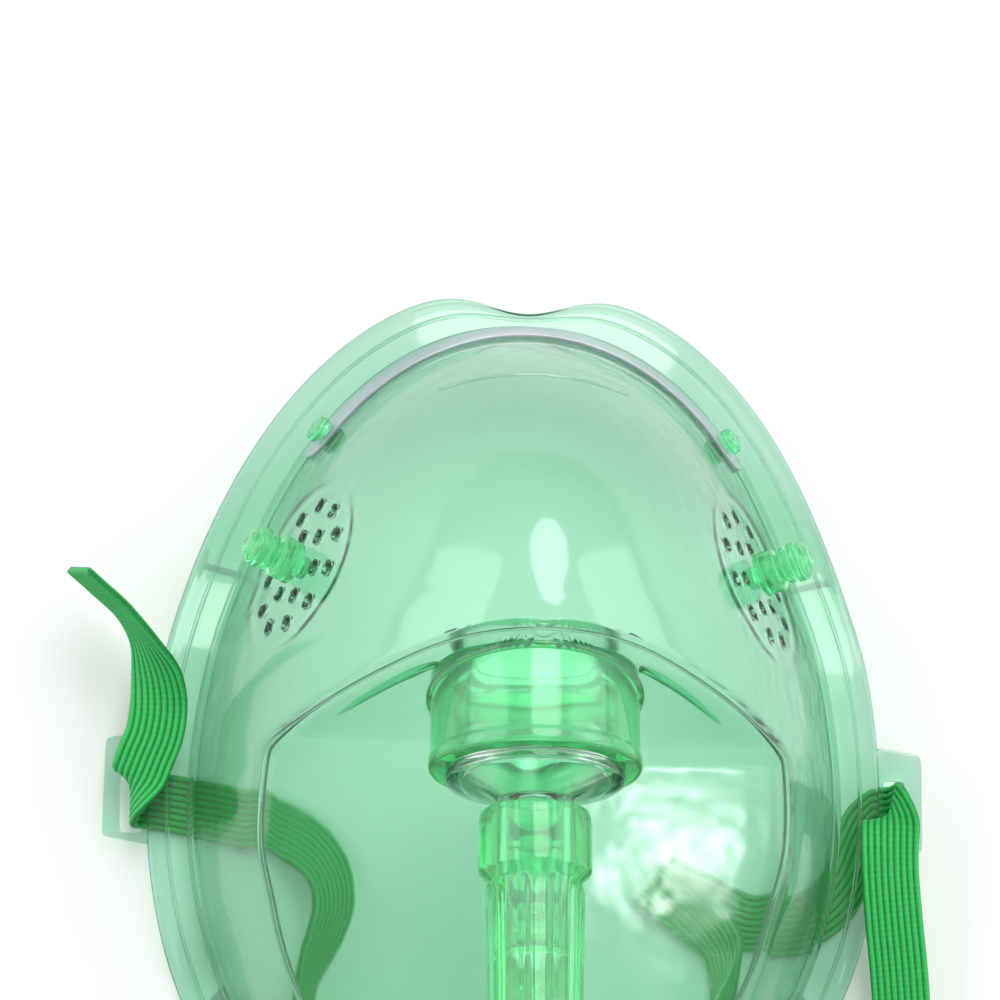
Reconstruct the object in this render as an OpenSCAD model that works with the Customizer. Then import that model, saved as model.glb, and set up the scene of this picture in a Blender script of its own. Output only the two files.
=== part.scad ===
// Disposable adult oxygen face mask, lying on its rim, with head strap, nose clip and supply hose.

/* [Facepiece] */
// Width over the rim
mask_w = 96; // [84:1:112]
// Length over the rim, from chin to nose
mask_l = 124; // [106:1:146]
// Height of the dome above the surface under the rim
mask_h = 50; // [44:1:58]
// Wall of the soft facepiece
wall = 1.2; // [0.9:0.1:1.5]
// Width of the soft rim that seals on the face
rim_w = 6.5; // [5.5:0.5:8]
// Reach of each strap tab past the rim
tab_reach = 5.5; // [4.5:0.5:7]

/* [Port] */
// Outer diameter of the thick ring round the port
port_od = 25; // [23:0.5:27]
// Bore of the ring, which the swivel adapter turns in
port_bore = 19.6; // [18:0.2:20.4]
// Length of the ring
port_l = 13; // [12:0.5:16]
// Tilt of the port axis above the rim plane, degrees
port_tilt = 12; // [8:1:16]

/* [Nose clip] */
// Width of the bendable metal strip
clip_w = 4.6; // [4:0.2:5.4]
// Thickness of the metal strip
clip_t = 0.5; // [0.4:0.1:0.8]

/* [Head strap] */
// Width of the elastic
strap_w = 7.5; // [6:0.5:8]
// Thickness of the elastic
strap_t = 1; // [0.8:0.1:1.1]

/* [Supply hose] */
// Outer diameter of the hose
hose_d = 6.2; // [5.4:0.2:7]
// Outer diameter of the ring at a hose cuff's mouth
cuff_od = 13.3; // [12.5:0.1:15]
// Length of a hose cuff
cuff_l = 30; // [27:1:36]
// Bore of the cuff at the supply end
source_bore = 6; // [5.6:0.1:6.6]

/* [Hidden] */
$fn = 64;
eps = 0.01;

// Colours of the soft green plastic, the clear plastic, the metal and the elastic.
soft_green = [0.66, 0.87, 0.76];
port_green = [0.42, 0.85, 0.62];
clear_grey = [0.85, 0.92, 0.89];
metal_grey = [0.74, 0.74, 0.79];
strap_green = [0.1, 0.5, 0.25];

// Outline of the rim: two half ellipses that meet on the widest line, with a dip at the nose.
wide_y = -3;
nose_dip = 4;
dip_w = 8;
chin_r = mask_l / 2 + wide_y;
sectors = 80;
sector_a = 360 / sectors;
nose_r = mask_l / 2 - wide_y;
function dip(t) = nose_dip * exp(-pow(mask_w / 2 * cos(t) / dip_w, 2));
nose_k = nose_r / max([for (i = [0 : sectors / 2]) nose_r * sin(i * sector_a) - dip(i * sector_a)]);
function plain_y(t) = wide_y + sin(t) * (sin(t) > 0 ? nose_k * nose_r : chin_r);
function plain_at(t) = [mask_w / 2 * cos(t), plain_y(t)];
function rim_y(t) = plain_y(t) - (sin(t) > 0 ? nose_k * dip(t) : 0);
function rim_at(t) = [mask_w / 2 * cos(t), rim_y(t)];

// Rise of the rim off the surface: an arch that the strap passes under, and the bridge of the nose.
tab_y = wide_y;
arch_lift = 2;
arch_half = 17;
arch_blend = 12;
nose_lift = 8;
nose_from = 28;
function smooth(u) = let (c = min(max(u, 0), 1)) c * c * (3 - 2 * c);
function rim_z(t) = arch_lift * (1 - smooth((abs(rim_y(t) - tab_y) - arch_half) / arch_blend))
    + nose_lift * smooth((rim_y(t) - nose_from) / (mask_l / 2 - nose_from));

// Dome over the rim, cut off in front by the chin panel and the wall that carries the port.
dome_c = [0, 16];
dome_power = 0.95;
wall_y = 1;
wall_a = 66;
panel_slope = 0.28;
port_drop = 13;
port_z = mask_h - port_drop;
panel_z = port_z - port_od / 2 - 0.5;
fold_r = 3;
function soft_min(a, b) = min(a, b) - pow(max(fold_r - abs(a - b), 0), 2) / (4 * fold_r);
function dome_z(t, g) = let (z0 = rim_z(t) + wall) z0 + (mask_h - z0) * pow(max(1 - g * g, 0), dome_power);
function front_z(y) = panel_z - soft_min(-(y - wall_y) * panel_slope, -(y - wall_y) * tan(wall_a));

// A point of the outer skin: g runs from 0 at the top to 1 at the fold and 2 at the rim's edge.
function fold_at(t) = let (reach = plain_at(t) - dome_c) dome_c + reach - rim_w * unit(reach);
function skin_at(t, g) = g <= 1 ? dome_c + g * (fold_at(t) - dome_c)
    : (2 - g) * fold_at(t) + (g - 1) * rim_at(t);
function skin(t, g) = let (p = skin_at(t, g))
    [p.x, p.y, g < 1 ? soft_min(dome_z(t, g), front_z(p.y)) : rim_z(t) + wall];
function unit(v) = v / norm(v);
// The outward direction there, from the skin's own slope on the side that the point belongs to.
dt = 0.5;
dg = 0.004;
function out(t, g) = let (
        g0 = g > 1 ? max(g - dg, 1) : g - dg,
        g1 = g > 1 ? min(g + dg, 2) : min(g + dg, 1))
    unit(cross(skin(t, g1) - skin(t, g0), skin(t + dt, g) - skin(t - dt, g)));
function offset_skin(t, g, d) = skin(t, g) + d * out(t, g);

// Vents and clip on the skin, by angle and place along it.
vent_t = 27;
vent_g = 0.8;
vent_hole_d = 2;
vent_rings = [[6, 4.6], [11, 8.4]];
cut = 4;
clip_gap = 0.15;
clip_from = 0.7;
clip_t0 = 45;
stud_t = 49.5;
stud_r = 1.1;
stud_fit = 0.1;
// Profiles of a clip stud and a vent post, [radius, height above the skin], from foot to head.
stud_head_z = clip_gap + clip_t + 0.3;
stud_profile = [[0, -wall - 1.3], [1.8, -wall - 1.3], [1.8, -wall - 0.5], [stud_r, -wall - 0.5],
    [stud_r, stud_head_z], [1.8, stud_head_z], [1.3, stud_head_z + 1.6], [0, stud_head_z + 1.6]];
post_r = 1.5;
post_profile = [[0, -wall - 1], [post_r, -wall - 1], [post_r, 0.5], [2.8, 0.5], [2.8, 3], [1.8, 3.2],
    [1.8, 3.8], [2.4, 3.8], [2.4, 4.6], [1.8, 4.6], [1.8, 5], [2.6, 5], [2.4, 6.6], [1.2, 7.4],
    [0, 7.4]];
function clip_g(t, h) = sqrt(1 - pow(h / (mask_h - rim_z(t) - wall), 1 / dome_power));

// The port axis, from the middle of the ring's mouth outwards.
port_o = [0, wall_y - 4, port_z];
port_dir = [0, -cos(port_tilt), sin(port_tilt)];
function port_at(a) = port_o + a * port_dir;

// Fits of the adapter in the ring and of the cuff on its nipple.
turn_gap = 0.05;
end_gap = 0.25;
adapter_r = port_bore / 2 - turn_gap;
adapter_wall = 1.3;
bead = 0.9;
nipple_r = 3;
nipple_bore_r = 2;
nipple_end = 20;
barb = 0.25;
barb_l = 1.5;
barb_at = 10;
snap_l = 1.2;
lead_in = 0.8;
shoulder_end = 1.4;
cone_end = 3.6;
neck_end = 4.4;
neck_r = nipple_r + 1.3;
cuff_from = 5;
cuff_gap = 0.1;
cuff_end = cuff_from + cuff_l;
cuff_ring_l = 8.3;
cuff_body_r = cuff_od / 2 - 1.3;
cuff_tail_r = cuff_body_r - 0.5;
cuff_ribs = 10;
cuff_rib_w = 0.7;
cuff_rib_h = 0.2;
cuff_rib_root = 0.7;
cuff_bevel = 0.4;
cuff_nipple_l = 16.5;
cuff_wall_l = 1;
socket_gap = 0.1;

// Tabs at the widest line, each with a slot for the strap.
slot_w = 3.8;
slot_l = strap_w + 1.2;
tab_in = 4;
tab_half_in = slot_l / 2 + 2.85;
tab_half_out = slot_l / 2 + 1.25;
slot_y = -4.5;
slot_x = mask_w / 2 + 1.4;
tab_skin = 0.2;

// Fall of the hose from the cuff's level to the surface: each point as the share of the way across
// to the coil, the distance past the start, and the share of the height that is left.
hose_r = hose_d / 2;
hose_in = cuff_from + cuff_nipple_l + cuff_wall_l;
lead_top = port_at(cuff_end + 16);
lead_fall = [[0, 10, 1.03], [0, 16, 1.01], [0, 22, 0.953], [0.016, 27, 0.863], [0.065, 30.5, 0.75],
    [0.146, 33, 0.616], [0.26, 34.6, 0.492], [0.405, 36, 0.38], [0.566, 38.6, 0.267],
    [0.728, 42.6, 0.155], [0.858, 47, 0.076], [0.945, 53, 0.02], [0.99, 59, 0], [1, 65, 0]];
// The coil: two layers of turns a diameter apart, entered at its left side.
coil_turns = 3.5;
coil_out_r = 45.9;
coil_in_r = coil_out_r - coil_turns * hose_d;
coil_run_in = 17;
coil_c = [15, lead_top.y - lead_fall[13][1] - coil_run_in];
coil_top_z = 1.5 * hose_d;
lead_x = coil_c.x - coil_out_r;
lead_route = concat([port_at(hose_in), port_at(cuff_end), port_at(cuff_end + 8), lead_top],
    [for (p = lead_fall) [p.x * lead_x, lead_top.y - p.y, hose_r + p.z * (lead_top.z - hose_r)]]);
// Run of the tail from the coil's right side to the cuff's level: distance past the coil's middle,
// and the share of the height that is left.
tail_in = 12;
tail_run = [[coil_run_in, 1], [25, 0.74], [33, 0.28], [41, 0], [49, 0], [57, 0]];
tail_route = [for (p = tail_run)
    [coil_c.x + coil_out_r, coil_c.y + p.x, cuff_od / 2 + p.y * (coil_top_z - cuff_od / 2)]];
source_o = tail_route[5] + [0, cuff_l - tail_in, 0];

// Route of the strap on a rim 96 by 124, each point with the heading and the rise of the strap's
// width in degrees. Other rims stretch it about the slots.
strap_lie = [
    [-57, 23.5, 14, 40, 82], [-54.5, 21.5, 12.5, 42, 82], [-51, 18.5, 10.5, 40, 80],
    [-48.5, 15, 9, 20, 66], [-47, 11, 7.6, 8, 30], [-46.6, 7, 6.8, 0, 4], [-47, 3.5, 6.9, -14, 0],
    [-48, 0.5, 7.2, -38, 0], [-49, -2.6, 6.8, -68, 0], [-49.4, -4.3, 5.2, -88, 0],
    [-49.4, -4.5, 3.4, -90, 0], [-49.4, -4.5, 1.9, -90, 0], [-48.5, -4.5, 0.9, -90, 0],
    [-46, -4.8, 0.7, -92, 0], [-42, -5.4, 0.7, -98, 0], [-37, -6.2, 0.9, -102, 2],
    [-31.5, -7.6, 1.6, -112, 12], [-27, -10, 2.8, -130, 28], [-24.2, -13.5, 3.8, -158, 40],
    [-23.4, -17.5, 4.2, -180, 48], [-24.6, -22, 4.2, -200, 56], [-26.4, -26.4, 4.2, -208, 66],
    [-27, -30.8, 4.1, -196, 78], [-24.6, -35, 4, -164, 78], [-19.8, -38.6, 4, -138, 80],
    [-13.6, -41.2, 4, -112, 84], [-5.6, -42.6, 4, -98, 84], [4.8, -42.6, 4, -84, 84],
    [13.2, -41.2, 4, -68, 84], [20, -38.2, 4, -46, 80], [25.4, -33.4, 4.1, -20, 80],
    [27.4, -27.6, 4, 6, 70], [27, -22, 3.4, 30, 48], [23, -17.5, 2.8, 44, 20], [19.6, -14.6, 2.5, 48, 4],
    [18.6, -13.6, 1.7, 48, 0], [19.6, -14, 0.9, 52, 0], [24, -15.8, 0.7, 66, 0],
    [30, -18.6, 0.7, 74, 0], [36, -19, 0.7, 96, 0], [40.4, -16.8, 0.7, 128, 0],
    [43.6, -13, 0.7, 146, 0], [45.6, -8.4, 0.7, 130, 0], [47.2, -5.6, 0.8, 102, 0],
    [48.7, -4.5, 1, 92, 0], [49.4, -4.5, 1.9, 90, 0], [49.4, -4.5, 3.4, 90, 0],
    [49.4, -4.4, 5.2, 88, 0], [49, -4.2, 7, 78, 0], [48.4, -5, 8.6, 52, 4],
    [48, -7.6, 9.4, 24, 4], [48, -12, 9.2, 6, 0], [48.6, -18, 8.2, -4, 0], [49.6, -25, 6.4, -8, 0],
    [50.4, -32, 4.2, -4, 0], [50.4, -39, 2.2, -6, 0], [49, -46, 1, -18, 0], [45.6, -53, 0.7, -31, 0],
    [40.8, -59.4, 0.7, -41, 0], [35, -65, 0.7, -45, 0]];
strap_k = [slot_x / 49.4, mask_l / 124];
strap_route = [for (p = strap_lie)
    [p[0] * strap_k.x, slot_y + (p[1] + 4.5) * strap_k.y, p[2], p[3], p[4]]];

// Closed skin between an outer and an inner set of rings that share their middle.
skin_gs = [0.06, 0.12, 0.18, 0.24, 0.3, 0.36, 0.42, 0.48, 0.54, 0.6, 0.66, 0.72, 0.78, 0.83, 0.88,
    0.92, 0.95, 0.975, 0.99, 1, 1.06, 1.5, 2];
rings = len(skin_gs);
function ring_index(layer, i, j) = layer * (1 + rings * sectors) + 1 + i * sectors + (j % sectors);
function skin_points(d) = concat([[dome_c.x, dome_c.y, mask_h - d]],
    [for (g = skin_gs) for (j = [0 : sectors - 1]) offset_skin(j * sector_a, g, -d)]);
skin_faces = concat(
    [for (j = [0 : sectors - 1]) [0, ring_index(0, 0, j + 1), ring_index(0, 0, j)]],
    [for (j = [0 : sectors - 1])
        [1 + rings * sectors, ring_index(1, 0, j), ring_index(1, 0, j + 1)]],
    [for (i = [0 : rings - 2]) for (j = [0 : sectors - 1]) each [
        [ring_index(0, i, j), ring_index(0, i, j + 1), ring_index(0, i + 1, j + 1)],
        [ring_index(0, i, j), ring_index(0, i + 1, j + 1), ring_index(0, i + 1, j)],
        [ring_index(1, i, j), ring_index(1, i + 1, j + 1), ring_index(1, i, j + 1)],
        [ring_index(1, i, j), ring_index(1, i + 1, j), ring_index(1, i + 1, j + 1)]]],
    [for (j = [0 : sectors - 1]) each [
        [ring_index(0, rings - 1, j), ring_index(0, rings - 1, j + 1), ring_index(1, rings - 1, j + 1)],
        [ring_index(0, rings - 1, j), ring_index(1, rings - 1, j + 1), ring_index(1, rings - 1, j)]]]);

// Faces of a loft through n sections of k points each, closed at both ends.
function loft_faces(n, k) = concat(
    [[for (j = [0 : k - 1]) j]],
    [[for (j = [0 : k - 1]) n * k - 1 - j]],
    [for (i = [0 : n - 2]) for (j = [0 : k - 1]) let (j1 = (j + 1) % k) each [
        [i * k + j, (i + 1) * k + j, (i + 1) * k + j1],
        [i * k + j, (i + 1) * k + j1, i * k + j1]]]);
function heading(route, i) = unit(route[min(i + 1, len(route) - 1)] - route[max(i - 1, 0)]);

// A round tube along a route that never runs sideways.
tube_sides = 10;
module tube(route) {
    points = [for (i = [0 : len(route) - 1]) let (
            d = heading(route, i), u = unit(cross(d, [1, 0, 0])), w = cross(u, d))
        for (j = [0 : tube_sides - 1]) let (a = j * 360 / tube_sides)
            route[i] + hose_r * (cos(a) * u + sin(a) * w)];
    polyhedron(points, loft_faces(len(route), tube_sides));
}

// A flat band along the strap's route.
module band() {
    places = [for (p = strap_route) [p[0], p[1], p[2]]];
    points = [for (i = [0 : len(places) - 1]) let (
            p = strap_route[i], d = heading(places, i),
            w0 = [cos(p[3]) * cos(p[4]), sin(p[3]) * cos(p[4]), sin(p[4])],
            w = unit(w0 - (w0 * d) * d) * strap_w / 2, n = unit(cross(d, w)) * strap_t / 2)
        each [places[i] + w + n, places[i] + w - n, places[i] - w - n, places[i] - w + n]];
    polyhedron(points, loft_faces(len(places), 4));
}

// Puts its children on the skin at a place, standing outwards.
module on_skin(t, g, d = 0) {
    n = out(t, g);
    translate(offset_skin(t, g, d))
        rotate([0, acos(n.z), atan2(n.y, n.x)])
            children();
}

// Puts its children on the port axis, pointing out of the mask.
module on_port(a = 0) {
    translate(port_at(a))
        rotate([90 - port_tilt, 0, 0])
            children();
}

// The cutters for one vent field's two circles of holes.
module vent_holes() {
    for (ring = vent_rings)
        for (i = [0 : ring[0] - 1])
            rotate(i * 360 / ring[0])
                translate([ring[1], 0, -cut])
                    cylinder(h = 2 * cut, d = vent_hole_d, $fn = 24);
}

// A strap tab beside the rim.
module tab() {
    x0 = mask_w / 2 - tab_in;
    x1 = mask_w / 2 + tab_reach;
    translate([0, tab_y, arch_lift - tab_skin])
        linear_extrude(wall + 2 * tab_skin)
            polygon([[x0, -tab_half_in], [x1, -tab_half_out], [x1, tab_half_out], [x0, tab_half_in]]);
}

// The cutter for a tab's slot.
module slot() {
    translate([slot_x - slot_w / 2, slot_y - slot_l / 2, arch_lift - cut])
        cube([slot_w, slot_l, 2 * cut]);
}

// The soft facepiece: dome, chin panel, rim and strap tabs in one moulding.
module facepiece_shell() {
    color(soft_green)
        difference() {
            union() {
                polyhedron(concat(skin_points(0), skin_points(wall)), skin_faces);
                for (side = [0, 1])
                    mirror([side, 0, 0])
                        tab();
            }
            on_port(-2 * port_l)
                cylinder(h = 2 * port_l + 2, d = port_od);
            for (side = [0, 1])
                mirror([side, 0, 0]) {
                    slot();
                    on_skin(vent_t, vent_g) {
                        vent_holes();
                        translate([0, 0, -cut])
                            cylinder(h = 2 * cut, r = post_r);
                    }
                    on_skin(stud_t, clip_g(stud_t, clip_from + clip_w / 2))
                        translate([0, 0, -cut])
                            cylinder(h = 2 * cut, r = stud_r);
                }
        }
}

// The thick ring welded into the front wall, whose bore holds the adapter.
module port_collar() {
    color(port_green)
        on_port(-port_l)
            difference() {
                cylinder(h = port_l, d = port_od);
                translate([0, 0, -eps])
                    cylinder(h = port_l + 2 * eps, d = port_bore);
            }
}

// The clear adapter: a cup that turns in the ring, closed in front by a cone with a hose nipple.
module swivel_adapter() {
    shoulder_r = adapter_r + bead;
    cup_r = adapter_r - adapter_wall;
    bead_r = adapter_r + bead / 2;
    back = -port_l - end_gap;
    color(clear_grey)
        on_port()
            rotate_extrude()
                polygon([[cup_r, back - snap_l - lead_in], [adapter_r, back - snap_l - lead_in],
                    [bead_r, back - snap_l], [bead_r, back], [adapter_r, back], [adapter_r, end_gap],
                    [shoulder_r, end_gap], [shoulder_r, shoulder_end], [neck_r, cone_end],
                    [neck_r, neck_end], [nipple_r, neck_end], [nipple_r, barb_at],
                    [nipple_r + barb, barb_at], [nipple_r, barb_at + barb_l],
                    [nipple_r, nipple_end - barb_l], [nipple_r + barb, nipple_end - barb_l],
                    [nipple_r - barb, nipple_end], [nipple_bore_r, nipple_end],
                    [nipple_bore_r, cone_end], [cup_r, 0]]);
}

// The bendable aluminium strip over the bridge of the nose.
module nose_clip() {
    steps = round((180 - 2 * clip_t0) / sector_a * 2);
    ts = [for (i = [0 : steps]) clip_t0 + i * sector_a / 2];
    color(metal_grey)
        difference() {
            polyhedron([for (t = ts) let (g0 = clip_g(t, clip_from), g1 = clip_g(t, clip_from + clip_w))
                    each [offset_skin(t, g0, clip_gap), offset_skin(t, g1, clip_gap),
                        offset_skin(t, g1, clip_gap + clip_t), offset_skin(t, g0, clip_gap + clip_t)]],
                loft_faces(len(ts), 4));
            for (side = [0, 1])
                mirror([side, 0, 0])
                    on_skin(stud_t, clip_g(stud_t, clip_from + clip_w / 2))
                        translate([0, 0, -cut])
                            cylinder(h = 2 * cut, r = stud_r + stud_fit);
        }
}

// A plastic stud through one end of the strip, with a head outside and a foot inside.
module clip_stud() {
    on_skin(stud_t, clip_g(stud_t, clip_from + clip_w / 2))
        rotate_extrude()
            polygon(stud_profile);
}

module left_clip_stud() {
    color(port_green)
        mirror([1, 0, 0])
            clip_stud();
}

module right_clip_stud() {
    color(port_green)
        clip_stud();
}

// The post in the middle of a vent field, made to hold a flap disc under its head.
module vent_post() {
    on_skin(vent_t, vent_g)
        rotate_extrude()
            polygon(post_profile);
}

module left_vent_post() {
    color(port_green)
        mirror([1, 0, 0])
            vent_post();
}

module right_vent_post() {
    color(port_green)
        vent_post();
}

// The woven elastic, threaded through both slots and tucked under the mask.
module elastic_strap() {
    color(strap_green)
        band();
}

// A hose cuff from its mouth at 0 to its tail, with a ring, a ribbed body and two bores.
module cuff(bore_r) {
    rib_at = [cuff_body_r - cuff_rib_root, -cuff_rib_w / 2, cuff_ring_l - cuff_bevel];
    rib = [cuff_rib_root + cuff_rib_h, cuff_rib_w, cuff_l - cuff_ring_l - 2 * cuff_bevel];
    difference() {
        union() {
            rotate_extrude()
                polygon([[0, 0], [cuff_od / 2 - cuff_bevel, 0], [cuff_od / 2, cuff_bevel],
                    [cuff_od / 2, cuff_ring_l - 1], [cuff_body_r, cuff_ring_l], [cuff_tail_r, cuff_l],
                    [0, cuff_l]]);
            for (i = [0 : cuff_ribs - 1])
                rotate(i * 360 / cuff_ribs)
                    translate(rib_at)
                        cube(rib);
        }
        translate([0, 0, -eps])
            cylinder(h = cuff_nipple_l + eps, r = bore_r);
        cylinder(h = cuff_l, r = nipple_bore_r);
        translate([0, 0, cuff_nipple_l + cuff_wall_l])
            cylinder(h = cuff_l, r = hose_r + socket_gap);
    }
}

// The cuff on the adapter's nipple.
module hose_cuff() {
    color(port_green)
        on_port(cuff_from)
            cuff(nipple_r + barb + cuff_gap);
}

// The hose from the cuff down to the coil.
module oxygen_hose() {
    color(soft_green)
        tube(lead_route);
}

// The coiled length, as one ring of its outer shape.
module hose_coil() {
    color(soft_green)
        translate([coil_c.x, coil_c.y, 0])
            rotate_extrude()
                translate([coil_in_r - hose_r, 0])
                    square([coil_out_r - coil_in_r + hose_d, 2 * hose_d]);
}

// The hose from the coil to the supply cuff.
module hose_tail() {
    color(soft_green)
        tube(tail_route);
}

// The cuff for the oxygen supply's nipple.
module source_cuff() {
    color(port_green)
        translate(source_o)
            rotate([90, 0, 0])
                cuff(source_bore / 2);
}

facepiece_shell();
port_collar();
swivel_adapter();
nose_clip();
left_clip_stud();
right_clip_stud();
left_vent_post();
right_vent_post();
elastic_strap();
hose_cuff();
oxygen_hose();
hose_coil();
hose_tail();
source_cuff();
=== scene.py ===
import math

import bmesh
import bpy
import numpy as np
from mathutils import Matrix, Vector


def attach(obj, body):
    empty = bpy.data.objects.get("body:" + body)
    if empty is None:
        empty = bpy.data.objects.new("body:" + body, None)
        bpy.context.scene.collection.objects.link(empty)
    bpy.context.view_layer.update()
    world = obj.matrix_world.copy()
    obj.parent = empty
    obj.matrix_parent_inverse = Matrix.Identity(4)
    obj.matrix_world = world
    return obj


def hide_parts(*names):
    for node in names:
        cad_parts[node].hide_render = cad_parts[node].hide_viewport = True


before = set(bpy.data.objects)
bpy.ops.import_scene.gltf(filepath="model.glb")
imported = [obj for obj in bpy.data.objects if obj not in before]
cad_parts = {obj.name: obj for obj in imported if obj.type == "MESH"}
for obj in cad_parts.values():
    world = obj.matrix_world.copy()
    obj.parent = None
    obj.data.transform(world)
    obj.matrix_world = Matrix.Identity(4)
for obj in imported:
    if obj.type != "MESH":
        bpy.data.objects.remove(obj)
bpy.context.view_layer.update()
scene = bpy.context.scene

# ---- Camera ------------------------------------------------------------------------------------
# Looks almost straight down on the mask from just left of its middle, with the nose away from it.
# It stands 0.37 m over the table with a 100 mm lens, so that the lower edge crops the chin.
camera_at = Vector((-0.0238, -0.0323, 0.3653))
camera_aim = Vector((-0.0026, 0.0367, 0.0))
camera_roll = math.radians(1.0)
camera_lens = 99.9

camera = bpy.data.objects.new("camera", bpy.data.cameras.new("camera"))
camera.data.lens = camera_lens
camera.data.sensor_width = 36
camera.data.clip_start = 0.01
backward = (camera_at - camera_aim).normalized()
sideways = Vector((0, 1, 0)).cross(backward).normalized()
look = Matrix((sideways, backward.cross(sideways), backward)).transposed().to_4x4()
camera.matrix_world = Matrix.Translation(camera_at) @ look @ Matrix.Rotation(camera_roll, 4, "Z")
scene.collection.objects.link(camera)
scene.camera = camera


# ---- Studio ------------------------------------------------------------------------------------
# A white table in a grey room, between two wide banks of light. A tall softbox stands past the nose,
# and a small window on the chin's side shows in the chin panel.
def softbox(name, at, aim, size, radiance, shape="RECTANGLE"):
    """An area lamp at a place, turned to its aim. Its power is its radiance times pi times its area."""
    data = bpy.data.lights.new(name, "AREA")
    data.shape = shape
    data.size, data.size_y = size
    share = math.pi / 4 if shape == "ELLIPSE" else 1.0
    data.energy = radiance * math.pi * size[0] * size[1] * share
    lamp = bpy.data.objects.new(name, data)
    back = (Vector(at) - Vector(aim)).normalized()
    across = Vector((0, 1, 0)).cross(back).normalized()
    turn = Matrix((across, back.cross(across), back)).transposed().to_4x4()
    lamp.matrix_world = Matrix.Translation(at) @ turn
    scene.collection.objects.link(lamp)


world = bpy.data.worlds.new("sky")
world.use_nodes = True
world.node_tree.nodes["Background"].inputs["Color"].default_value = (1, 1, 1, 1)
world.node_tree.nodes["Background"].inputs["Strength"].default_value = 0.4
scene.world = world
scene.view_settings.view_transform = "Standard"
bank_size, bank_radiance = (1.2, 1.6), 1.8
softbox("left_bank", (-1.25, 0.1, 0.72), (0, 0, 0), bank_size, bank_radiance)
softbox("right_bank", (1.25, 0.1, 0.72), (0, 0, 0), bank_size, bank_radiance)
softbox("key_softbox", (0.12, 0.5, 0.8), (0, 0.02, 0.04), (0.5, 0.85), 4.6, "ELLIPSE")
softbox("chin_window", (0.132, -0.4185, 0.8), (0.02, -0.0104, 0.0208), (0.046, 0.04), 20)


def mesh_piece(name, points, faces, smooth=True):
    """One mesh object from an N by 3 array of metres and a list of arrays of quads or triangles."""
    corners = np.concatenate([f.ravel() for f in faces])
    sizes = np.concatenate([np.full(len(f), f.shape[1]) for f in faces])
    mesh = bpy.data.meshes.new(name)
    mesh.vertices.add(len(points))
    mesh.vertices.foreach_set("co", np.asarray(points, np.float32).ravel())
    mesh.loops.add(len(corners))
    mesh.loops.foreach_set("vertex_index", corners.astype(np.int32))
    mesh.polygons.add(len(sizes))
    starts = np.concatenate([[0], np.cumsum(sizes)[:-1]])
    mesh.polygons.foreach_set("loop_start", starts.astype(np.int32))
    mesh.polygons.foreach_set("use_smooth", np.full(len(sizes), smooth))
    mesh.update(calc_edges=True)
    mesh.validate()
    shape = bmesh.new()
    shape.from_mesh(mesh)
    bmesh.ops.recalc_face_normals(shape, faces=shape.faces)
    shape.to_mesh(mesh)
    shape.free()
    piece = bpy.data.objects.new(name, mesh)
    scene.collection.objects.link(piece)
    return piece


half_floor = 3.0
floor_corners = np.array([[-1, -1, 0], [1, -1, 0], [1, 1, 0], [-1, 1, 0]]) * half_floor
floor = mesh_piece("floor", floor_corners, [np.array([[0, 1, 2, 3]])])
floor_material = bpy.data.materials.new("floor_white")
floor_material.use_nodes = True
floor_shader = floor_material.node_tree.nodes["Principled BSDF"]
floor_shader.inputs["Base Color"].default_value = (0.93, 0.93, 0.93, 1)
floor_shader.inputs["Roughness"].default_value = 0.7
floor.data.materials.append(floor_material)


# ---- Facepiece ---------------------------------------------------------------------------------
# One thin moulding of soft, clear, green-tinted PVC: a flat rim, a dome, and below its brow a recessed
# chin panel. The brow's front wall carries the port, and tabs on the rim carry the strap.
def moulded_surface():
    """A group for a moulded plastic skin, from soft noise in the piece's own space. Roughness runs
    from Glossiest to Dullest in small clouds, and Normal carries broad, low waves."""
    group = bpy.data.node_groups.new("moulded_surface", "ShaderNodeTree")
    for label in ("Glossiest", "Dullest", "Waviness"):
        group.interface.new_socket(label, in_out="INPUT", socket_type="NodeSocketFloat")
    group.interface.new_socket("Roughness", in_out="OUTPUT", socket_type="NodeSocketFloat")
    group.interface.new_socket("Normal", in_out="OUTPUT", socket_type="NodeSocketVector")
    given, out = group.nodes.new("NodeGroupInput"), group.nodes.new("NodeGroupOutput")
    coordinates = group.nodes.new("ShaderNodeTexCoord")
    waves = group.nodes.new("ShaderNodeTexNoise")
    waves.inputs["Scale"].default_value = 70
    waves.inputs["Detail"].default_value = 3
    cloud = group.nodes.new("ShaderNodeTexNoise")
    cloud.inputs["Scale"].default_value = 160
    cloud.inputs["Detail"].default_value = 5
    spread = group.nodes.new("ShaderNodeMapRange")
    spread.inputs["From Min"].default_value = 0.3
    spread.inputs["From Max"].default_value = 0.7
    bump = group.nodes.new("ShaderNodeBump")
    bump.inputs["Distance"].default_value = 0.0015
    for noise in (waves, cloud):
        group.links.new(coordinates.outputs["Object"], noise.inputs["Vector"])
    group.links.new(given.outputs["Glossiest"], spread.inputs["To Min"])
    group.links.new(given.outputs["Dullest"], spread.inputs["To Max"])
    group.links.new(given.outputs["Waviness"], bump.inputs["Strength"])
    group.links.new(waves.outputs["Fac"], bump.inputs["Height"])
    group.links.new(cloud.outputs["Fac"], spread.inputs["Value"])
    group.links.new(spread.outputs["Result"], out.inputs["Roughness"])
    group.links.new(bump.outputs["Normal"], out.inputs["Normal"])
    return group


surface_group = moulded_surface()


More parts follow.
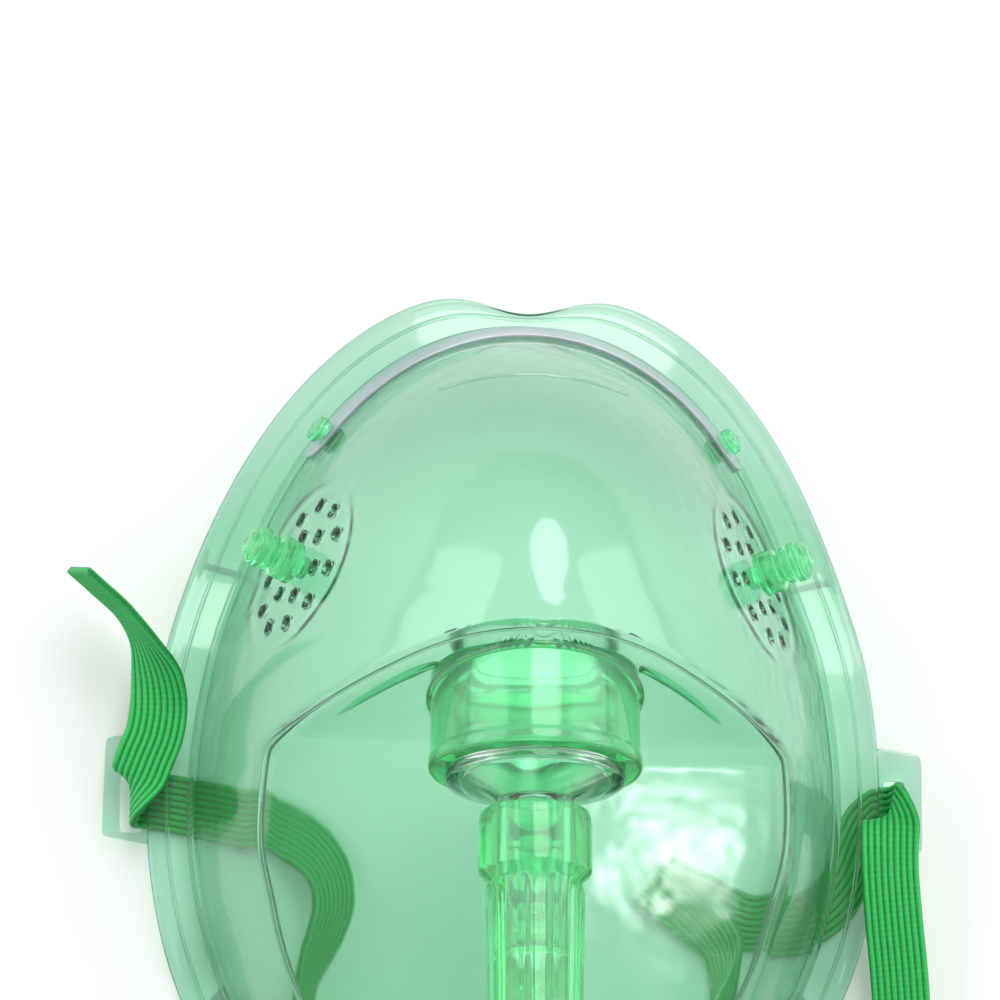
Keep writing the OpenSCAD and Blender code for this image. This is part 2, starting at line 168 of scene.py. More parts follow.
def clear_plastic(name, per_metre, ior=1.5, haze=0.0, body=(1, 1, 1)):
    """Plastic like tinted glass: each colour loses per_metre of its light by depth, so that a thick
    ring looks greener than a thin wall. Lamplight passes through it to what lies behind."""
    material = bpy.data.materials.new(name)
    material.use_nodes = True
    tree = material.node_tree
    shader = tree.nodes["Principled BSDF"]
    shader.inputs["Base Color"].default_value = (*body, 1)
    shader.inputs["IOR"].default_value = ior
    shader.inputs["Transmission Weight"].default_value = 1 - haze
    skin_finish = tree.nodes.new("ShaderNodeGroup")
    skin_finish.node_tree = surface_group
    skin_finish.inputs["Glossiest"].default_value = 0.05
    skin_finish.inputs["Dullest"].default_value = 0.13
    skin_finish.inputs["Waviness"].default_value = 0.12
    tree.links.new(skin_finish.outputs["Roughness"], shader.inputs["Roughness"])
    tree.links.new(skin_finish.outputs["Normal"], shader.inputs["Normal"])
    lamplight = tree.nodes.new("ShaderNodeBsdfTransparent")
    lamplight.inputs["Color"].default_value = (0.96, 0.96, 0.96, 1)
    path = tree.nodes.new("ShaderNodeLightPath")
    mix = tree.nodes.new("ShaderNodeMixShader")
    tree.links.new(path.outputs["Is Shadow Ray"], mix.inputs["Fac"])
    tree.links.new(shader.outputs["BSDF"], mix.inputs[1])
    tree.links.new(lamplight.outputs["BSDF"], mix.inputs[2])
    tree.links.new(mix.outputs["Shader"], tree.nodes["Material Output"].inputs["Surface"])
    depth = tree.nodes.new("ShaderNodeVolumeAbsorption")
    density = max(per_metre) * 1.02
    depth.inputs["Density"].default_value = density
    depth.inputs["Color"].default_value = (*[1 - k / density for k in per_metre], 1)
    tree.links.new(depth.outputs["Volume"], tree.nodes["Material Output"].inputs["Volume"])
    return material


soft_pvc = clear_plastic("soft_green_pvc", (440, 200, 320), haze=0.03, body=(0.88, 0.97, 0.93))


def finish_piece(piece, material, body, slot, *nodes):
    """Gives a piece its material, the body that it rides and the nodes that it replaces. Its slot is not
    used.
    """
    piece.data.materials.append(material)
    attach(piece, body)
    if nodes:
        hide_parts(*nodes)


def quads(rows, columns, around=True, start=0):
    """Quads between neighbouring rows and columns of a grid, closed round its columns if around."""
    last = columns if around else columns - 1
    i, j = np.meshgrid(np.arange(rows - 1), np.arange(last), indexing="ij")
    k = (j + 1) % columns
    cells = [i * columns + j, i * columns + k, (i + 1) * columns + k, (i + 1) * columns + j]
    return np.stack(cells, -1).reshape(-1, 4) + start


# The skin is worked out for an angle t round the rim and a place g, which goes from the top of the
# dome (0) over the fold at the rim (1) to the rim's edge (2). All sizes from here on are in mm.
mm = 0.001
mask_w, mask_l, mask_h, wall, rim_w = 96.0, 124.0, 50.0, 1.2, 6.5
wide_y, nose_dip, dip_w, dome_power = -3.0, 4.0, 8.0, 0.95
dome_c = np.array([0.0, 16.0])
port_tilt = math.radians(12)
port_o = np.array([0, -3, 37.0])
port_dir = np.array([0, -math.cos(port_tilt), math.sin(port_tilt)])
port_r, port_l = 12.5, 13.0
panel_z, panel_slope, wall_y, wall_a = 24.0, 0.28, 1.0, math.radians(66)
vent_t, vent_g = math.radians(27), 0.8


def unit(v):
    """The vectors at length 1."""
    return v / np.maximum(np.linalg.norm(v, axis=-1, keepdims=True), 1e-9)


def smooth(u):
    """An even rise from 0 to 1, as 3 u squared less 2 u cubed."""
    c = np.clip(u, 0, 1)
    return c * c * (3 - 2 * c)


def dip(t):
    """The notch in the rim at the bridge of the nose: a bell curve of the distance from the middle."""
    return np.where(np.sin(t) > 0, nose_dip * np.exp(-((mask_w / 2 * np.cos(t) / dip_w) ** 2)), 0)


nose_ts, nose_r = np.arange(41) * math.pi / 40, mask_l / 2 - wide_y
nose_k = nose_r / (nose_r * np.sin(nose_ts) - dip(nose_ts)).max()


def plain_at(t):
    """The rim without its notch: half ellipses that meet on the widest line."""
    y = np.sin(t) * np.where(np.sin(t) > 0, nose_k * nose_r, mask_l / 2 + wide_y)
    return np.stack([mask_w / 2 * np.cos(t), wide_y + y], -1)


def rim_at(t):
    """The rim's outer edge: the plain rim less its notch."""
    return plain_at(t) - np.stack([np.zeros_like(t), nose_k * dip(t)], -1)


def fold_at(t):
    """The fold where the dome meets the rim: the plain rim, drawn in by the rim's width."""
    reach = plain_at(t) - dome_c
    return dome_c + reach * (1 - rim_w / np.linalg.norm(reach, axis=-1, keepdims=True))


def rim_z(t):
    """The rim arches over the strap at each side and rises to the bridge of the nose."""
    y = rim_at(t)[..., 1]
    arch = 2 * (1 - smooth((np.abs(y - wide_y) - 17) / 12))
    return arch + 8 * smooth((y - 28) / (mask_l / 2 - 28))


def soft_min(a, b, fold):
    """The lower of two surfaces, with a round fold where they lie within fold of each other."""
    return np.minimum(a, b) - np.maximum(fold - np.abs(a - b), 0) ** 2 / (4 * fold)


def skin(t, g):
    """The outer skin: a flattened dome over the rim, cut by the sloping chin panel and front wall.
    The dome falls off as 1 less g squared, to the power dome_power; the panel and the wall are planes."""
    fold = fold_at(t)
    u = g[..., None]
    xy = np.where(u <= 1, dome_c + u * (fold - dome_c), (2 - u) * fold + (u - 1) * rim_at(t))
    base = rim_z(t) + wall
    dome = base + (mask_h - base) * np.maximum(1 - g * g, 0) ** dome_power
    y = xy[..., 1] - wall_y
    front = panel_z - soft_min(-y * panel_slope, -y * math.tan(wall_a), 3.0)
    z = np.where(g < 1, soft_min(dome, front, 3.0), base)
    return np.concatenate([xy, z[..., None]], -1)


def outward(t, g):
    """The outward direction: the cross product of the skin's small steps along g and along t, taken
    on the side of the fold that the point belongs to."""
    dt, dg = 0.004, 0.003
    lo = np.where(g > 1, np.maximum(g - dg, 1), np.maximum(g - dg, 0.001))
    hi = np.where(g > 1, np.minimum(g + dg, 2), np.minimum(g + dg, 1))
    return unit(np.cross(skin(t, hi) - skin(t, lo), skin(t + dt, g) - skin(t - dt, g)))


def even_steps(count, density):
    """Places from 0 to 1 that share out the density's running total evenly, so that they stand closer
    together where the density is higher."""
    u = np.linspace(0, 1, 4001)
    total = np.cumsum(density(u))
    total = (total - total[0]) / (total[-1] - total[0])
    return np.interp(np.linspace(0, 1, count), total, u)


def bell(x, middle, width):
    """A bell curve of height 1 round a middle."""
    return np.exp(-(((x - middle) / width) ** 2))


def round_angles(steps):
    """Even angles round a full turn."""
    return np.arange(steps) * 2 * math.pi / steps


# The grid's lines stand closer round the vent fields and at the rim's fold.
sectors, ring_count = 400, 106
grid_turns = even_steps(sectors + 1, lambda u: 1 + 1.4 * (bell(u, 0.075, 0.045) + bell(u, 0.425, 0.045)))
dome_g = even_steps(ring_count, lambda u: 1.3 + 1.4 * bell(u, 0.78, 0.12) + 2 * bell(u, 1, 0.04))[2:]
rim_g = np.array([1.03, 1.1, 1.2, 1.35, 1.5, 1.65, 1.8, 1.88, 1.94, 1.98, 2.0])
t_grid, g_grid = np.meshgrid(grid_turns[:-1] * 2 * math.pi, np.concatenate([dome_g, rim_g]), indexing="xy")
outer = skin(t_grid, g_grid)
normal = outward(t_grid, g_grid)

# The edge of the rim swells into a round bead, and the vent fields sit in shallow round recesses.
bead_g, bead_h = 1.84, 0.35
recess_r, recess_depth = 10.6, 0.2
rim_edge = np.clip((g_grid - bead_g) / (2 - bead_g), 0, 1)
swell = bead_h * np.sin(rim_edge * math.pi) ** 0.8 * (g_grid > 1)
vent_points = [skin(np.array(t), np.array(vent_g)) for t in (vent_t, math.pi - vent_t)]
recess = np.zeros_like(g_grid)
for p in vent_points:
    away = np.linalg.norm(outer - p, axis=-1)
    recess += recess_depth * (1 - smooth((away - recess_r) / 1.2))
half_edge = np.where(g_grid > bead_g, np.sqrt(np.maximum(1e-4, 1 - rim_edge**2)), 1.0)
middle = outer - normal * wall / 2
outer_skin = middle + normal * ((wall / 2 + swell) * half_edge - recess)[..., None]
inner_skin = middle - normal * ((wall / 2 + swell * 0.2) * half_edge + recess)[..., None]

# Round holes: the port's, and two rings of vent holes round each post.
port_hole_r, vent_hole_r = port_r - 0.05, 1.0
holes = [(port_o, port_dir, port_hole_r, 30.0)]
for p, t in zip(vent_points, (vent_t, math.pi - vent_t)):
    n = outward(np.array(t), np.array(vent_g))
    side = unit(np.cross(n, [0, 0, 1.0]))
    up = np.cross(side, n)
    for count, ring_r in ((6, 4.6), (11, 8.4)):
        for a in round_angles(count):
            holes.append((p + ring_r * (np.cos(a) * up + np.sin(a) * side), n, vent_hole_r, 4.0))


def cut_holes(front, back, holes):
    """Opens round holes in a double skin: cells inside a hole go, and the cells on its edge are pulled
    out to the circle. Returns which cells stay."""
    rows, columns = front.shape[:2]
    keep = np.ones((rows - 1, columns), bool)
    for at, axis, radius, reach in holes:
        offset = front - at
        along = offset @ axis
        across = offset - along[..., None] * axis
        r = np.linalg.norm(across, axis=-1)
        inside = (r < radius) & (np.abs(along) < reach)
        corner = [inside[:-1], inside[1:], np.roll(inside, -1, 1)[:-1], np.roll(inside, -1, 1)[1:]]
        gone = corner[0] & corner[1] & corner[2] & corner[3]
        part = (corner[0] | corner[1] | corner[2] | corner[3]) & ~gone
        keep &= ~gone
        touched = np.zeros_like(inside)
        touched[:-1] |= part
        touched[1:] |= part
        touched |= np.roll(touched, 1, 1)
        moved = touched & inside
        for layer in (front, back):
            d = layer - at
            a = d @ axis
            x = d - a[..., None] * axis
            length = np.maximum(np.linalg.norm(x, axis=-1, keepdims=True), 1e-6)
            layer[moved] = (at + a[..., None] * axis + x / length * radius)[moved]
    return keep


# Both skins, then the walls that join them: at the sides and ends of the cells that went, and round
# the rim's edge. A fan of triangles closes the top of each skin.
keep = cut_holes(outer_skin, inner_skin, holes)
rows, columns = outer_skin.shape[:2]
count = rows * columns
cells = quads(rows, columns).reshape(rows - 1, columns, 4)
i, j = np.nonzero(keep ^ np.roll(keep, 1, 1))
pair = np.stack([i * columns + j, (i + 1) * columns + j], -1)
flip = keep[i, j]
pair[flip] = pair[flip][:, ::-1]
walls = [np.concatenate([pair[:, ::-1], pair + count], 1)]
i, j = np.nonzero(keep[1:] ^ keep[:-1])
pair = np.stack([(i + 1) * columns + j, (i + 1) * columns + (j + 1) % columns], -1)
flip = keep[i, j]
pair[flip] = pair[flip][:, ::-1]
walls.append(np.concatenate([pair, pair[:, ::-1] + count], 1))
ring = np.arange(columns)
ring_next = (ring + 1) % columns
edge, edge_next = ring + (rows - 1) * columns, ring_next + (rows - 1) * columns
walls.append(np.stack([edge, edge_next, edge_next + count, edge + count], -1))
top = 2 * count
caps = [
    np.stack([np.full(columns, top), ring, ring_next], -1),
    np.stack([np.full(columns, top + 1), ring_next + count, ring + count], -1),
]
tops = [[*dome_c, mask_h], [*dome_c, mask_h - wall]]
points = np.concatenate([outer_skin.reshape(-1, 3), inner_skin.reshape(-1, 3), tops])
facepiece = mesh_piece(
    "facepiece", points * mm, [cells[keep][:, ::-1], cells[keep] + count, *walls, *caps]
)
finish_piece(facepiece, soft_pvc, "mask", "soft_green_pvc", "facepiece_shell")


# ---- Moulded ridges ----------------------------------------------------------------------------
# Fine round ridges of the facepiece's own plastic, moulded with it. They run round the chin panel,
# along the fold, along the middle of the rim, and across the nose above the clip.
def loop_quads(rows, columns):
    """Quads of a grid that closes round both its rows and its columns, as on a ring."""
    i, j = np.meshgrid(np.arange(rows), np.arange(columns), indexing="ij")
    i1, j1 = (i + 1) % rows, (j + 1) % columns
    cells = [i * columns + j, i * columns + j1, i1 * columns + j1, i1 * columns + j]
    return np.stack(cells, -1).reshape(-1, 4)


def capped(rows, columns):
    """Faces of a closed bar: its sides, and one face at each end."""
    end = np.arange(columns)[None]
    return [quads(rows, columns), end, end + (rows - 1) * columns]


def tube(line, side, up, steps):
    """Points round a line: at each place an ellipse whose half axes are the vectors side and up."""
    a = round_angles(steps)[:, None]
    return line[:, None] + side[:, None] * np.cos(a) + up[:, None] * np.sin(a)


def soften(line, before, after, passes):
    """Averages each point with its neighbours: a quarter of each, and half of itself."""
    for pass_number in range(passes):
        line = (line[before] + 2 * line + line[after]) / 4
    return line


def panel_edge(steps):
    """The closed line where the dome is as high as the panel and the front wall: for each angle two
    places along g, one on the brow and one by the rim."""
    angles, g = np.linspace(math.pi, 2 * math.pi, steps), np.linspace(0.02, 0.999, 3000)
    t = np.repeat(angles[:, None], len(g), 1)
    y = (dome_c + g[:, None] * (fold_at(t) - dome_c))[..., 1] - wall_y
    base = rim_z(t) + wall
    dome = base + (mask_h - base) * (1 - g * g) ** dome_power
    over = dome - panel_z + np.minimum(-y * panel_slope, -y * math.tan(wall_a))
    crossing = np.diff(np.sign(over), axis=1) != 0
    both = crossing.sum(axis=1) >= 2
    first, last = crossing.argmax(axis=1), len(g) - 2 - crossing[:, ::-1].argmax(axis=1)
    near = np.stack([angles, g[first]], -1)[both]
    far = np.stack([angles, g[last]], -1)[both]
    return np.concatenate([near[::-1], far])


def ridge(name, ts, gs, radius, closed=True):
    """A fine rounded ridge that stands half out of the skin, along places given by angle and g."""
    steps, lift = 12, 0.2
    at, n = skin(ts, gs), outward(ts, gs)
    before, after = np.roll(np.arange(len(at)), 1), np.roll(np.arange(len(at)), -1)
    if not closed:
        before[0], after[-1] = 0, len(at) - 1
    at, n = soften(at, before, after, 6), unit(soften(n, before, after, 6))
    side = unit(np.cross(at[after] - at[before], n))
    r = np.broadcast_to(radius, (len(at),))[:, None]
    points = tube(at + lift * r * n, r * side, r * n, steps)
    faces = [loop_quads(len(at), steps)] if closed else capped(len(at), steps)
    piece = mesh_piece(name, points.reshape(-1, 3) * mm, faces)
    finish_piece(piece, soft_pvc, "mask", "soft_green_pvc")


panel_line = panel_edge(420)
on_brow = smooth((skin(panel_line[:, 0], panel_line[:, 1])[:, 1] - 1) / 4)
ridge("panel_ridge", panel_line[:, 0], panel_line[:, 1], 0.46 - 0.26 * on_brow)
rim_ts = round_angles(360)
ridge("fold_ridge", rim_ts, np.full(360, 1.05), 0.42)
ridge("rim_ridge", rim_ts, np.full(360, 1.55), 0.26)
nose_line_ts = np.radians(np.linspace(68, 112, 60))
nose_line_y = 47.5 - 1.5 * ((nose_line_ts - math.pi / 2) / math.radians(20)) ** 2
nose_line_g = (nose_line_y - dome_c[1]) / (fold_at(nose_line_ts)[:, 1] - dome_c[1])
ridge("nose_line", nose_line_ts, nose_line_g, 0.17, closed=False)


# ---- Strap tabs --------------------------------------------------------------------------------
# A flat ear of the same soft moulding at each side of the rim, with a slot that the strap goes
# through. Each is a rounded plate swept from the slot's edge out to the ear's own outline.
def rounded(corners, steps=5):
    """A closed or open outline from (x, y, radius) corners, each replaced by an arc of its radius."""
    out = []
    points = np.array([c[:2] for c in corners], float)
    n = len(points)
    for i in range(n):
        a, p, b = points[i - 1], points[i], points[(i + 1) % n]
        u, v = a - p, b - p
        lu, lv = np.linalg.norm(u), np.linalg.norm(v)
        u, v = u / lu, v / lv
        half = math.acos(max(-1, min(1, float(u @ v)))) / 2
        radius = corners[i][2]
        if radius <= 0 or half > 1.5:
            out.append(p)
            continue
        cut = min(radius / math.tan(half), 0.45 * lu, 0.45 * lv)
        t = np.linspace(0, 1, steps)[:, None]
        out.extend((1 - t) ** 2 * (p + u * cut) + 2 * t * (1 - t) * p + t**2 * (p + v * cut))
    return np.array(out)


slot_c = np.array([49.8, -4.5])
slot_edges = [((1, 0), 1.5), ((-1, 0), 1.5), ((0, 1), 4.4), ((0, -1), 4.4)]
tab_edges = [((1, 0), 3.7), ((-1, 0), 2.25), ((0.17, 0.985), 8.3), ((0.17, -0.985), 5.4)]
tab_z = 2.0
tab_angle = round_angles(120)
tab_way = np.stack([np.cos(tab_angle), np.sin(tab_angle)], -1)


def soft_polygon(edges, sharp):
    """The distance to a convex outline along each way: a power mean over its edges, which rounds off
    its corners more, the lower the power sharp is."""
    reach = sum(np.maximum(tab_way @ np.array(n) / d, 0) ** sharp for n, d in edges)
    return reach ** (-1 / sharp)


slot_out, tab_out = soft_polygon(slot_edges, 8), soft_polygon(tab_edges, 18)
plate = rounded([(0, 0, 0.06), (1, 0, 0.08), (1, 1, 0.08), (0, 1, 0.06)], 4)
for side, label in ((-1, "left"), (1, "right")):
    reach = slot_out + plate[:, :1] * (tab_out - slot_out)
    xy = slot_c + reach[..., None] * tab_way
    z = tab_z + wall * np.repeat(plate[:, 1:], len(tab_angle), 1)
    tab = np.concatenate([xy * [side, 1], z[..., None]], -1).reshape(-1, 3)
    ear = mesh_piece(label + "_strap_tab", tab * mm, [loop_quads(len(plate), len(tab_angle))])
    finish_piece(ear, soft_pvc, "mask", "soft_green_pvc")


# ---- Port ring ---------------------------------------------------------------------------------
# A thick moulded ring of a greener soft PVC, pushed through the front wall and welded there. Its
# round bore holds the adapter.
def lathe(name, outline, frame_of, sides=96, lobes=None):
    """A closed outline of (radius, height), turned about the third of the axes in frame_of, which is
    (origin, three axes). lobes gives what is added to the radius."""
    angle = round_angles(sides)
    radius = np.repeat(outline[:, :1], sides, 1)
    height = outline[:, 1]
    if lobes is not None:
        radius = radius + lobes(radius, height[:, None], angle[None, :])
    local = np.stack(
        [radius * np.cos(angle), radius * np.sin(angle), np.repeat(height[:, None], sides, 1)], -1
    )
    origin, axes = frame_of
    points = (local.reshape(-1, 3) @ np.array(axes) + origin) * mm
    return mesh_piece(name, points, [loop_quads(len(outline), sides)])


port_pvc = clear_plastic("port_green_pvc", (170, 20, 95), haze=0.13, body=(0.5, 0.97, 0.68))
port_axes = (port_o, [(1, 0, 0), (0, math.sin(port_tilt), math.cos(port_tilt)), tuple(port_dir)])
port_bore_r, port_foot_r = 9.8, port_r + 0.25
ring_outline = rounded([
    (port_bore_r, -port_l, 0.4), (port_r, -port_l, 0.5), (port_r, -1.9, 0.3), (port_foot_r, -1.4, 0.4),
    (port_foot_r, 0, 0.9), (port_bore_r, 0, 0.9),
], 6)
port_ring = lathe("port_ring", ring_outline, port_axes, 144)
finish_piece(port_ring, port_pvc, "mask", "port_green_pvc", "port_collar")

# A small bead of weld closes the corner all round, where the ring passes through the skin.
turn_ts = np.linspace(-math.pi, math.pi, 2001)
turn_reach = fold_at(turn_ts) - dome_c
turn_way = np.unwrap(np.arctan2(turn_reach[:, 1], turn_reach[:, 0]))
turn_length = np.linalg.norm(turn_reach, axis=1)


def skin_height(xy):
    """The height of the outer skin over a place inside the fold."""
    way = xy - dome_c
    angle = np.arctan2(way[..., 1], way[..., 0])
    angle = np.where(angle < turn_way[0], angle + 2 * math.pi, angle)
    angle = np.where(angle > turn_way[-1], angle - 2 * math.pi, angle)
    g = np.linalg.norm(way, axis=-1) / np.interp(angle, turn_way, turn_length)
    return skin(np.interp(angle, turn_way, turn_ts), np.minimum(g, 0.999))[..., 2]


weld_r, weld_steps = 0.6, 240
weld_a = round_angles(weld_steps)[:, None]
weld_h = np.linspace(1.5, -port_l + 0.5, 700)
weld_round = np.cos(weld_a) * np.array(port_axes[1][0]) + np.sin(weld_a) * np.array(port_axes[1][1])
weld_try = port_o + port_r * weld_round[:, None] + weld_h[:, None] * port_dir
inside = skin_height(weld_try[..., :2]) > weld_try[..., 2]
before, after = np.roll(np.arange(weld_steps), 1), np.roll(np.arange(weld_steps), -1)
weld_line = soften(weld_try[np.arange(weld_steps), np.argmax(inside, axis=1)], before, after, 5)
weld_side = unit(np.cross(weld_line[after] - weld_line[before], weld_round))
weld_points = tube(weld_line, weld_r * weld_round, weld_r * weld_side, 14)
weld = mesh_piece("port_weld", weld_points.reshape(-1, 3) * mm, [loop_quads(weld_steps, 14)])
finish_piece(weld, port_pvc, "mask", "port_green_pvc")


# ---- Port gussets ------------------------------------------------------------------------------
# A thin fin of the ring's plastic at each side, which stands on the front wall along the brow and
# stiffens it. Each runs out and down from the ring, and thins almost to nothing at its end.
fin_rows, fin_steps, fin_r = 61, 16, 0.45
fin_start, fin_run = np.array([12.1, 9.6, 40.6]), np.array([11.5, -4.6, -14.2])
fin_bend = np.array([1, 1.4, 1.15])
for side, label in ((-1, "left"), (1, "right")):
    u = np.linspace(0, 1, fin_rows)[:, None]
    fin_line = (fin_start + fin_run * u**fin_bend) * [side, 1, 1]
    fin_size = fin_r * np.sqrt(np.clip(1.02 - u**3, 0, 1))
    ahead = unit(np.gradient(fin_line, axis=0))
    thin = unit(np.cross(ahead, [0, -0.9, 0.44]))
    tall = np.cross(thin, ahead)
    fin_points = tube(fin_line, thin * fin_size, tall * fin_size * 1.25, fin_steps)
    fin = mesh_piece(label + "_gusset", fin_points.reshape(-1, 3) * mm, capped(fin_rows, fin_steps))
    finish_piece(fin, port_pvc, "mask", "port_green_pvc")


# ---- Swivel adapter ----------------------------------------------------------------------------
# A hard clear moulded cup, closed by a cone with a hose nipple. Its bead snaps behind the ring, and
# it turns in the ring's bore.
hard_clear = clear_plastic("clear_plastic", (30, 12, 20), ior=1.49)
adapter_outline = rounded([
    (8.45, -15.25, 0.3), (9.75, -15.25, 0.3), (10.2, -14.45, 0.2), (10.2, -13.25, 0.2),
    (9.75, -13.25, 0), (9.75, 0.25, 0), (10.65, 0.25, 0.2), (10.65, 1.4, 0.5), (4.3, 3.6, 0.6),
    (4.3, 4.4, 0.2), (3, 4.4, 0.2), (3, 10, 0), (3.25, 10, 0.1), (3, 11.5, 0), (3, 18.5, 0),
    (3.25, 18.5, 0.1), (2.7, 20, 0.2), (2, 20, 0.15), (2, 3.6, 0.8), (8.45, 0, 0.8),
], 4)
adapter = lathe("swivel_cup", adapter_outline, port_axes, 144)
finish_piece(adapter, hard_clear, "adapter", "clear_plastic", "swivel_adapter")


# ---- Posts and studs ---------------------------------------------------------------------------
# Round moulded pegs of the ring's plastic that stand square on the skin, pressed through its holes:
# a post with a mushroom head in each vent field, and a small rivet through each end of the nose clip.
clip_from, clip_w, clip_t, clip_gap = 0.7, 4.6, 0.5, 0.15
stud_t = math.radians(49.5)


def clip_g(t, h):
    """The place on the dome that lies h above the rim at an angle: the dome's height solved for g."""
    return np.sqrt(1 - (h / (mask_h - rim_z(t) - wall)) ** (1 / dome_power))


def skin_axes(t, g, side):
    """Origin and axes that stand square on the skin, mirrored for the left side."""
    mirror = np.array([side, 1, 1])
    at, n = skin(np.array(t), np.array(g)) * mirror, outward(np.array(t), np.array(g)) * mirror
    u = unit(np.cross([0, 0, 1.0], n))
    return at, [u, np.cross(n, u), n]


post_outline = rounded([
    (0.01, -2.1, 0), (1.45, -2.1, 0.3), (1.5, 0.4, 0), (2.8, 0.4, 0.3), (2.8, 3, 0.35),
    (1.8, 3.2, 0.2), (1.8, 3.8, 0.15), (2.4, 3.8, 0.25), (2.4, 4.6, 0.25), (1.8, 4.6, 0.15),
    (1.8, 5, 0.15), (2.65, 5, 0.3), (2.5, 6.5, 0.7), (1.2, 7.35, 0.6), (0.01, 7.35, 0),
], 5)
stud_outline = rounded([
    (0.01, -2.4, 0), (1.8, -2.4, 0.3), (1.8, -1.6, 0.3), (1.1, -1.6, 0), (1.1, 0.95, 0),
    (1.8, 0.95, 0.3), (1.75, 2.3, 0.7), (0.01, 2.7, 0),
], 5)
for side, label in ((-1, "left"), (1, "right")):
    post = lathe(label + "_vent_peg", post_outline, skin_axes(vent_t, vent_g, side), 64)
    finish_piece(post, port_pvc, "mask", "port_green_pvc", label + "_vent_post")
    stud_axes = skin_axes(stud_t, clip_g(stud_t, clip_from + clip_w / 2), side)
    stud = lathe(label + "_clip_rivet", stud_outline, stud_axes, 48)
    finish_piece(stud, port_pvc, "mask", "port_green_pvc", label + "_clip_stud")


# ---- Nose clip ---------------------------------------------------------------------------------
# A strip of soft rolled aluminium with round ends, bent over the bridge of the nose against the
# dome's foot and held by the two rivets. It follows the skin at an even height above the rim.
clip_t0 = math.radians(45)
clip_rows = 241
clip_ts = np.linspace(clip_t0, math.pi - clip_t0, clip_rows)
clip_mid, half = clip_from + clip_w / 2, clip_w / 2
line = skin(clip_ts, clip_g(clip_ts, np.full(clip_rows, clip_mid)))
along = np.concatenate([[0], np.cumsum(np.linalg.norm(np.diff(line, axis=0), axis=1))])
from_end = np.minimum(along, along[-1] - along)
half_width = np.maximum(np.sqrt(np.maximum(half**2 - np.maximum(half - from_end, 0) ** 2, 0)), 0.05)
clip_section = rounded([(-1, 0, 0.04), (1, 0, 0.04), (1, 1, 0.04), (-1, 1, 0.04)], 4)
section_steps = len(clip_section)
tt = np.repeat(clip_ts[:, None], section_steps, 1)
gg = clip_g(tt, clip_mid + half_width[:, None] * clip_section[None, :, 0])
lift = clip_gap + clip_t * clip_section[None, :, 1:2]
clip_points = skin(tt, gg) + outward(tt, gg) * lift
clip = mesh_piece("bent_clip", clip_points.reshape(-1, 3) * mm, capped(clip_rows, section_steps))


def rolled_metal():
    """Soft aluminium: colour and gloss change in faint streaks along the rolling direction."""
    material = bpy.data.materials.new("clip_aluminium")
    material.use_nodes = True
    tree = material.node_tree
    shader = tree.nodes["Principled BSDF"]
    shader.inputs["Metallic"].default_value = 1
    place = tree.nodes.new("ShaderNodeTexCoord")
    stretch = tree.nodes.new("ShaderNodeMapping")
    stretch.inputs["Scale"].default_value = (40, 160, 2600)
    streaks = tree.nodes.new("ShaderNodeTexNoise")
    streaks.inputs["Scale"].default_value = 1
    streaks.inputs["Detail"].default_value = 6
    tint = tree.nodes.new("ShaderNodeValToRGB")
    tint.color_ramp.elements[0].color = (0.56, 0.55, 0.63, 1)
    tint.color_ramp.elements[1].color = (0.82, 0.81, 0.88, 1)
    gloss = tree.nodes.new("ShaderNodeMapRange")
    gloss.inputs["To Min"].default_value = 0.28
    gloss.inputs["To Max"].default_value = 0.5
    bump = tree.nodes.new("ShaderNodeBump")
    bump.inputs["Strength"].default_value = 0.15
    bump.inputs["Distance"].default_value = 0.0003
    tree.links.new(place.outputs["Object"], stretch.inputs["Vector"])
    tree.links.new(stretch.outputs["Vector"], streaks.inputs["Vector"])
    tree.links.new(streaks.outputs["Fac"], tint.inputs["Fac"])
    tree.links.new(streaks.outputs["Fac"], gloss.inputs["Value"])
    tree.links.new(streaks.outputs["Fac"], bump.inputs["Height"])
    tree.links.new(tint.outputs["Color"], shader.inputs["Base Color"])
    tree.links.new(gloss.outputs["Result"], shader.inputs["Roughness"])
    tree.links.new(bump.outputs["Normal"], shader.inputs["Normal"])
    return material


finish_piece(clip, rolled_metal(), "mask", "clip_aluminium", "nose_clip")


